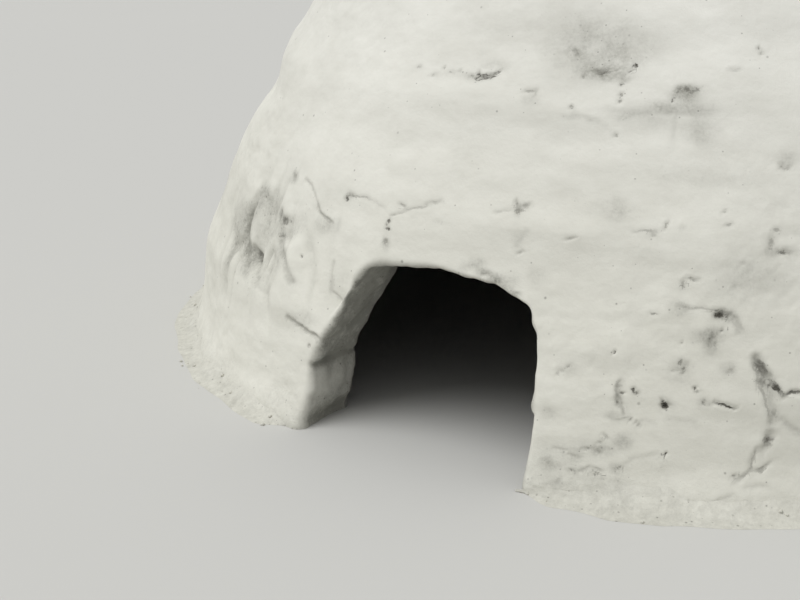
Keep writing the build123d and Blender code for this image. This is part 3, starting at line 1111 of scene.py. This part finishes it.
class Graph:
    """The nodes of a material or a world, with short calls to add and join them."""

    def __init__(self, owner, coordinates="Object"):
        owner.use_nodes = True
        self.nodes, self.links = owner.node_tree.nodes, owner.node_tree.links
        self.place = self.add("TexCoord").outputs[coordinates]

    def add(self, kind, inputs=None, **settings):
        node = self.nodes.new("ShaderNode" + kind)
        for key, value in settings.items():
            setattr(node, key, value)
        self.give(node, inputs or {})
        return node

    def give(self, node, inputs):
        """Joins each input to an output of another node, or sets it to a value."""
        for key, source in inputs.items():
            if hasattr(source, "is_output"):
                self.links.new(source, node.inputs[key])
            else:
                node.inputs[key].default_value = source

    def math(self, operation, *values):
        """The values taken together from the first to the last."""
        total = values[0]
        for value in values[1:]:
            total = self.add("Math", {0: total, 1: value}, operation=operation).outputs[0]
        return total

    def times(self, *values):
        return self.math("MULTIPLY", *values)

    def plus(self, *values):
        return self.math("ADD", *values)

    def ranged(self, value, from_low, from_high, to_low=0.0, to_high=1.0):
        return self.add("MapRange", {
            "Value": value, "From Min": from_low, "From Max": from_high, "To Min": to_low, "To Max": to_high,
        }).outputs["Result"]

    def attribute(self, name):
        return self.add("Attribute", attribute_name=name).outputs["Fac"]

    def height(self):
        return self.add("SeparateXYZ", {"Vector": self.place}).outputs["Z"]

    def stretched(self, times):
        return self.add("Mapping", {"Vector": self.place, "Scale": (1, 1, times)}).outputs["Vector"]

    def noise(self, scale, detail, roughness, distortion=0.0, vector=None):
        return self.add("TexNoise", {
            "Vector": vector or self.place, "Scale": scale, "Detail": detail, "Roughness": roughness,
            "Distortion": distortion,
        }).outputs["Fac"]

    def specks(self, scale, size, share):
        """1 in small round specks, in that share of the cells."""
        cells = self.add("TexVoronoi", {"Vector": self.place, "Scale": scale}).outputs
        pick = self.add("SeparateColor", {"Color": cells["Color"]}).outputs
        dot = self.ranged(cells["Distance"], 0, self.times(pick["Green"], size), 1, 0)
        return self.times(self.math("LESS_THAN", pick["Red"], share), dot)

    def mix(self, share, *colors):
        first, second = (color if hasattr(color, "is_output") else (*color, 1) for color in colors)
        return self.add("Mix", {"Factor": share, 6: first, 7: second}, data_type="RGBA").outputs[2]

    def bump(self, height, distance, strength, normal=None):
        inputs = {"Height": height, "Distance": distance, "Strength": strength}
        return self.add("Bump", inputs | ({"Normal": normal} if normal else {})).outputs["Normal"]


def snow(name, light, dark, dirt_color, stain_and_shade_color, speckling):
    """Packed snow: pale patches and streaks, grey stains, painted shade where its fields carry it, ragged
    dark marks, specks and a granular surface.

    Low down, where it is loose, it is coarser, greyer and more speckled.
    """
    material = bpy.data.materials.new(name)
    graph = Graph(material)
    ranged, noise, math, times, plus = graph.ranged, graph.noise, graph.math, graph.times, graph.plus
    streaky = graph.stretched(2.4)
    loose, stain_and_shade_amount = graph.attribute("loose"), graph.attribute("stain")
    patches = ranged(noise(1.7, 4, .55), .32, .68)
    streaks = ranged(noise(7, 5, .6, .4, streaky), .35, .68)
    blotches = ranged(noise(26, 4, .6, .2, streaky), .35, .70)
    tone = plus(times(patches, .40), times(streaks, .38), times(blotches, .22))
    cool_light, cool_dark = (tuple(np.multiply(shade, cooler)) for shade in (light, dark))
    higher = ranged(graph.height(), .35, 1.25, 0, .75)
    color = graph.mix(higher, graph.mix(tone, light, dark), graph.mix(tone, cool_light, cool_dark))
    trodden = times(ranged(noise(60, 5, .7), .36, .66, .30, 1.0), loose, .50)
    color = graph.mix(trodden, color, tuple(.80 * value for value in dark))
    # Painted shade: darker in grooves, in the depths of marks, in the doorway's reveal and in the inner
    # face's open joints.
    hollow = times(graph.attribute("hollow"), .45)
    color = graph.mix(hollow, color, tuple(.45 * value for value in light))

    # Stains, and the painted shade that the same field carries in the reveal, on the bank, in torn streaks
    # and in the inner joints: soft, but uneven down to the grain
    clouds = ranged(noise(30, 5, .68, .3), .32, .66, .45, 1.25)
    grains = ranged(noise(150, 3, .6), .34, .64, .75, 1.20)
    stain = math("MINIMUM", times(stain_and_shade_amount, clouds, grains, 1.15), .92)
    color = graph.mix(stain, color, stain_and_shade_color)

    # Marks: their edges follow noise, and so does how dark they are along their length
    coarse_edge = ranged(noise(70, 4, .6), .25, .75, -1.1, 1.1)
    fine_edge = ranged(noise(260, 3, .6), .25, .75, -.6, .6)
    wander = times(plus(coarse_edge, fine_edge), graph.attribute("ragged"))
    side = plus(graph.attribute("side"), wander)
    edge = ranged(graph.add("Math", {0: side}, operation="ABSOLUTE").outputs[0], .70, 1.25, 1, 0)
    broken = ranged(noise(48, 4, .65, 0, graph.stretched(1.3)), .36, .56, .30, 1.15)
    mark = math("MINIMUM", times(edge, broken, graph.attribute("dark")), .95)
    color = graph.mix(mark, color, dirt_color)

    specks = math("MAXIMUM", graph.specks(38, .20, .10 * speckling), graph.specks(90, .28, .07 * speckling))
    gathered = math("MINIMUM", plus(stain_and_shade_amount, times(loose, .25)), .5)
    flecks = times(graph.specks(105, .42, .22), gathered)
    color = graph.mix(math("MAXIMUM", times(specks, .7), times(flecks, 1.5)), color, dirt_color)

    strength = plus(times(loose, 1.1), .75)
    normal = graph.bump(times(noise(95, 4, .6), strength), .0016, .8)
    normal = graph.bump(times(noise(420, 3, .6), strength), .0006, .8, normal)
    normal = graph.bump(times(mark, -1.0), .002, .7, normal)
    graph.give(graph.nodes["Principled BSDF"], {
        "Base Color": color, "Normal": normal, "Roughness": .92, "Specular IOR Level": .25,
    })
    return material


cooler = (1.0, 1.005, 1.055)     # than by the ground, at the top
snow_colors = ((.80, .795, .725), (.655, .648, .580), (.085, .080, .066), (.30, .297, .262))
# Inside, the snow's colours are painted far darker than outside, as shade: the room gets light only through
# the doorway.
inner_painted_shade_colors = ((.42, .42, .40), (.30, .30, .285), (.08, .075, .065), (.16, .157, .145))
plaster = snow("snow_plaster", *snow_colors, speckling=1.0)
bank_snow = snow("bank_snow", *snow_colors, speckling=1.3)
inner_snow_painted_shade = snow("inner_snow_painted_shade", *inner_painted_shade_colors, speckling=.6)


# The igloo

for course in range(course_count):
    nodes = [f"course_{course + 1}_blocks_a", f"course_{course + 1}_blocks_b"]
    wall_ring(f"snow_course_{course + 1}", course, nodes)
key_piece("snow_key", "key_block")
doorway_piece(
    "doorway_surround",
    ["left_jamb_block_1", "right_jamb_block_1", "left_arch_block", "lintel_block", "right_arch_block"],
)
bank_piece("foot_bank_snow", [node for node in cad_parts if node.startswith("foot_bank")])


# Floor, light and camera

half_floor = 30
floor_drop = 0.0002             # below the snow's underside, so that the two never coincide
floor_material = bpy.data.materials.new("floor")
floor_graph = Graph(floor_material)
floor_graph.give(floor_graph.nodes["Principled BSDF"], {"Base Color": (.56, .56, .54, 1), "Roughness": .95})
floor_mesh = bpy.data.meshes.new("floor")
floor_mesh.from_pydata(
    [(x * half_floor, y * half_floor, -floor_drop) for x, y in ((-1, -1), (1, -1), (1, 1), (-1, 1))],
    [], [(0, 1, 2, 3)],
)
floor_mesh.materials.append(floor_material)
placed("floor", floor_mesh)

# An even grey sky, brighter overhead, with one flat shade of it behind the igloo and in reflections
horizon_light, zenith_light = .31, .78
backdrop_shade = .72
world = bpy.data.worlds.new("sky")
bpy.context.scene.world = world
sky = Graph(world, "Generated")
rays = sky.add("LightPath").outputs
shown = sky.math("MAXIMUM", rays["Is Camera Ray"], rays["Is Glossy Ray"], rays["Is Transmission Ray"])
strength = sky.ranged(sky.height(), 0, 1, horizon_light, zenith_light)
strength = sky.add("Mix", {"Factor": shown, 2: strength, 3: backdrop_shade}).outputs[0]
sky.give(sky.nodes["Background"], {"Strength": strength, "Color": (1, .997, .985, 1)})


def direction_to(bearing, elevation):
    """The direction of a bearing and an elevation, both in degrees, from the middle of the dome."""
    turn, lift = np.radians(bearing), np.radians(elevation)
    return Vector((np.sin(turn) * np.cos(lift), -np.cos(turn) * np.cos(lift), np.sin(lift)))


# A lamp far away, as soft as the bright part of a grey sky
key_bearing, key_elevation, key_energy, key_softness = -30, 58, 1.62, 50
key_direction = direction_to(key_bearing, key_elevation)
key_data = bpy.data.lights.new("key_light", "SUN")
key_data.energy = key_energy
key_data.angle = np.radians(key_softness)
key_light = placed("key_light", key_data)
key_light.location = 8 * key_direction
key_light.rotation_euler = key_direction.to_track_quat("Z", "Y").to_euler()

# The camera looks back along that direction, so to the left of +Y and downward
camera_bearing, camera_pitch = 35.5, 16.2
camera_data = bpy.data.cameras.new("camera")
camera_data.sensor_width = 36
camera_data.lens = 65.25
camera = placed("camera", camera_data)
camera.location = (1.81, -4.052, 1.30)
camera.rotation_euler = direction_to(camera_bearing, camera_pitch).to_track_quat("Z", "Y").to_euler()
bpy.context.scene.camera = camera
bpy.context.scene.view_settings.view_transform = "Standard"
